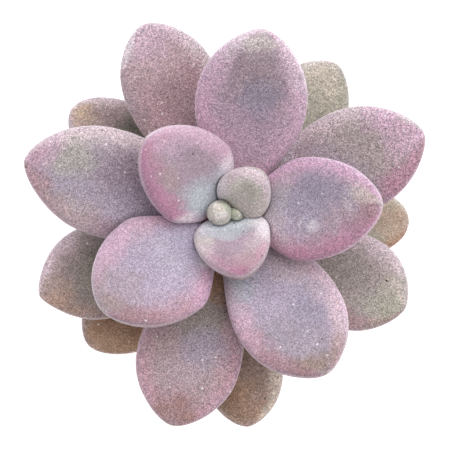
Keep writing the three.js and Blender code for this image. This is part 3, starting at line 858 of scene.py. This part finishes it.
def makeStoneTree():
    tree, put = newTree("scatteredStones", {
        "Reach": 0.0252, "Clear": 0.0064, "Density": 200000.0, "Smallest": 0.0005, "Largest": 0.0015,
        "Top": 0.0495, "Crown": 0.0008, "Seed": 1})
    disc = addNode(tree, "GeometryNodeMeshCircle", {"Vertices": 48, "Radius": put["Reach"]},
                   fill_type="TRIANGLE_FAN")
    points = addNode(tree, "GeometryNodeDistributePointsOnFaces",
                     {"Mesh": disc.outputs[0], "Density": put["Density"], "Seed": put["Seed"]})
    position = addNode(tree, "GeometryNodeInputPosition").outputs[0]
    height = put["Top"] + put["Crown"] * (1.0 - lengthOf(tree, position) / put["Reach"])
    lift = addNode(tree, "ShaderNodeCombineXYZ", {"Z": height})
    placed = addNode(tree, "GeometryNodeSetPosition",
                     {"Geometry": points.outputs[0], "Offset": lift.outputs[0]})

    # no stones in the stem, which stands off the pot's middle
    flat = addNode(tree, "ShaderNodeSeparateXYZ", {0: position})
    sideX = Term(tree, flat.outputs[0]) - plantForm["axisX"] * mm
    sideY = Term(tree, flat.outputs[1]) - plantForm["axisY"] * mm
    stemGap = (sideX * sideX + sideY * sideY) ** 0.5

    ball = addNode(tree, "GeometryNodeMeshIcoSphere", {"Radius": 1.0, "Subdivisions": 2})
    rough = addNode(tree, "ShaderNodeTexNoise", {"Scale": 1.3, "Detail": 2.0})
    swell = Term(tree, rough.outputs[0]) - 0.5
    push = addNode(tree, "ShaderNodeVectorMath", {0: position, "Scale": swell * 1.5}, operation="SCALE")
    stone = addNode(tree, "GeometryNodeSetPosition", {"Geometry": ball.outputs[0], "Offset": push.outputs[0]})

    turn = addNode(tree, "FunctionNodeRandomValue", data_type="FLOAT_VECTOR")
    turn.inputs[1].default_value = (math.tau,) * 3
    size = addNode(tree, "FunctionNodeRandomValue", data_type="FLOAT")
    tree.links.new(put["Smallest"].socket, size.inputs[2])
    tree.links.new(put["Largest"].socket, size.inputs[3])
    size.inputs["Seed"].default_value = 5
    squash = addNode(tree, "FunctionNodeRandomValue", data_type="FLOAT_VECTOR")
    squash.inputs[0].default_value = (0.7, 0.6, 0.5)
    squash.inputs[1].default_value = (1.0, 0.9, 0.8)
    squash.inputs["Seed"].default_value = 9
    scale = addNode(tree, "ShaderNodeVectorMath",
                    {0: squash.outputs[0], "Scale": Term(tree, size.outputs[1])}, operation="SCALE")
    spread = addNode(tree, "GeometryNodeInstanceOnPoints", {
        "Points": placed.outputs[0], "Selection": stemGap.above(put["Clear"]), "Instance": stone.outputs[0],
        "Rotation": turn.outputs[0], "Scale": scale.outputs[0]})
    lot = addNode(tree, "FunctionNodeRandomValue", data_type="FLOAT")
    lot.inputs["Seed"].default_value = 2
    marked = addNode(tree, "GeometryNodeStoreNamedAttribute",
                     {"Geometry": spread.outputs[0], "Name": "lot", "Value": Term(tree, lot.outputs[1])},
                     domain="INSTANCE")
    closeTree(tree, marked.outputs[0], put["Material"])
    return tree


def makeStones():
    tree = makeStoneTree()
    reach = potHollow(soil["top"]) - soil["wallClearance"]
    for name in ("stones", "perlite"):
        form = soil[name]
        piece = runTree(name, tree, {
            "Reach": reach * mm,
            "Density": form["count"] / (math.pi * (reach * mm) ** 2),
            "Smallest": form["smallest"] * mm,
            "Largest": form["largest"] * mm,
            "Top": soil["top"] * mm,
            "Crown": soil["crown"] * mm,
            "Seed": form["seed"],
        }, stoneMaterial(name + "Stone", form["colours"]))
        settle(piece, "soil", slot="soil")


# Stem with the scars of the leaves that it has shed

stem = dict(
    profile=(  # height and radius
        (32, 2.2), (36, 3.2), (50, 4), (62, 3.9), (71, 3.4), (78, 2.6), (85, 1.7), (87.1, 0.9), (87.7, 0.1)),
    ringStep=0.4,
    sides=96,
    firstScar=20, scars=14,
    scarWidth=1.7, scarHeight=0.75, scarDent=0.12, scarRim=0.16,
    bark="#8b7a62", green="#8d9172", scar="#b3a083", shade="#4d3d2e",
    patchScale=260, grainScale=1900,
    relief=0.5, reliefDepth=0.1,    # mm
)


def stemMaterial():
    material, tree, shader = newMaterial("stemBark", 0.8)
    place = addNode(tree, "ShaderNodeTexCoord").outputs["Object"]
    height = Term(tree, addNode(tree, "ShaderNodeSeparateXYZ", {0: place}).outputs["Z"])
    scar = Term(tree, addNode(tree, "ShaderNodeAttribute", attribute_name="scar").outputs["Fac"])
    broad = Term(tree, noiseAt(tree, place, stem["patchScale"], 4, 0.6).outputs[0])
    grain = Term(tree, noiseAt(tree, place, stem["grainScale"], 3, 0.7).outputs[0])
    colour = mixColour(tree, srgb(stem["bark"]), srgb(stem["green"]), (height * 1000.0).ramp(62, 80))
    colour = mixColour(tree, colour, srgb(stem["shade"]), broad.ramp(0.5, 0.75) * 0.7)
    colour = mixColour(tree, colour, srgb(stem["scar"]), scar * 0.8)
    colour = shade(tree, colour, (grain - 0.5) * 0.6 + 1.0)
    tree.links.new(colour, shader.inputs["Base Color"])
    addBump(tree, shader, stem["relief"], stem["reliefDepth"], grain + broad)
    shader.inputs["Specular IOR Level"].default_value = 0.25
    return material


def makeStem():
    section = []
    for (low, lowRadius), (high, highRadius) in zip(stem["profile"], stem["profile"][1:]):
        parts = math.ceil((high - low) / stem["ringStep"])
        section += [Vector((lowRadius + (highRadius - lowRadius) * i / parts, low + (high - low) * i / parts))
                    for i in range(parts)]
    section.append(Vector((stem["profile"][-1][1], stem["profile"][-1][0])))
    scars = []
    for k in range(stem["firstScar"], stem["firstScar"] + stem["scars"]):
        heading = math.radians(plantForm["firstHeading"] - plantForm["divergence"] * k)
        scars.append((heading, plantForm["topLeafHeight"] - plantForm["leafSpacing"] * k))
    marks = []

    def waver(point):  # each scar is a shallow dent with a raised edge
        outwards = Vector((point.x, point.y, 0)).normalized()
        turn = math.atan2(point.y, point.x)
        push, mark = 0.12 * noise.noise(point * 0.9) + 0.06 * noise.noise(point * 3), 0
        for heading, height in scars:
            side = math.remainder(turn - heading, math.tau) * point.xy.length
            far = math.hypot(side / stem["scarWidth"], (point.z - height) / stem["scarHeight"])
            if far < 1.6:
                push += stem["scarRim"] * math.exp(-((far - 1) / 0.25) ** 2)
                push -= stem["scarDent"] * math.exp(-(far / 0.6) ** 2)
                mark = max(mark, 1 - max(0, far - 0.7) / 0.4)
        marks.append(max(0, mark))
        moved = point + outwards * push * min(1, point.xy.length)
        return moved + Vector((plantForm["axisX"], plantForm["axisY"], 0))

    piece = spin("leafStem", section, stem["sides"], waver, closed=False)
    layer = piece.data.attributes.new("scar", "FLOAT", "POINT")
    layer.data.foreach_set("value", marks)
    facesOut(piece)
    piece.data.materials.append(stemMaterial())
    settle(piece, "stem", slot="stem")


makePot()
makeSoil()
makeStones()
makeStem()
print("pot, soil and stem made")


# Light, floor and camera

studio = dict(
    cameraHeight=528 * mm,
    lens=160,
    sensor=36,
    sky=0.45,
    suns=[(45, 42, 70, 2.0), (135, 60, 60, 0.8)],  # heading, tilt and width in degrees, strength
    floorReach=40,                                 # m
    floorColour=(0.9, 0.9, 0.9, 1),
    floorGlow=0.55,
)


def makeStudio():
    scene = bpy.context.scene
    camera = bpy.data.objects.new("camera", bpy.data.cameras.new("camera"))
    scene.collection.objects.link(camera)
    camera.location = (0, 0, studio["cameraHeight"])
    camera.data.lens = studio["lens"]
    camera.data.sensor_width = studio["sensor"]
    camera.data.clip_start = 0.01
    scene.camera = camera

    world = bpy.data.worlds.new("softSky")
    scene.world = world
    world.use_nodes = True
    sky = world.node_tree.nodes["Background"]
    sky.inputs["Color"].default_value = (1, 1, 1, 1)
    sky.inputs["Strength"].default_value = studio["sky"]
    scene.view_settings.view_transform = "Standard"
    for heading, tilt, width, strength in studio["suns"]:
        sun = bpy.data.objects.new("sun", bpy.data.lights.new("sun", "SUN"))
        scene.collection.objects.link(sun)
        sun.data.energy = strength
        sun.data.angle = math.radians(width)
        sun.rotation_euler = (0, math.radians(tilt), math.radians(heading))

    mesh = bpy.data.meshes.new("floor")
    corners = [(x * studio["floorReach"], y * studio["floorReach"], 0)
               for x, y in ((-1, -1), (1, -1), (1, 1), (-1, 1))]
    mesh.from_pydata(corners, [], [(0, 1, 2, 3)])
    floor = linkObject("floor", mesh)
    material = bpy.data.materials.new("paleFloor")
    material.use_nodes = True
    shader = material.node_tree.nodes["Principled BSDF"]
    shader.inputs["Base Color"].default_value = studio["floorColour"]
    shader.inputs["Roughness"].default_value = 0.9
    shader.inputs["Emission Color"].default_value = (1, 1, 1, 1)
    shader.inputs["Emission Strength"].default_value = studio["floorGlow"]
    mesh.materials.append(material)


makeStudio()
print("studio made")
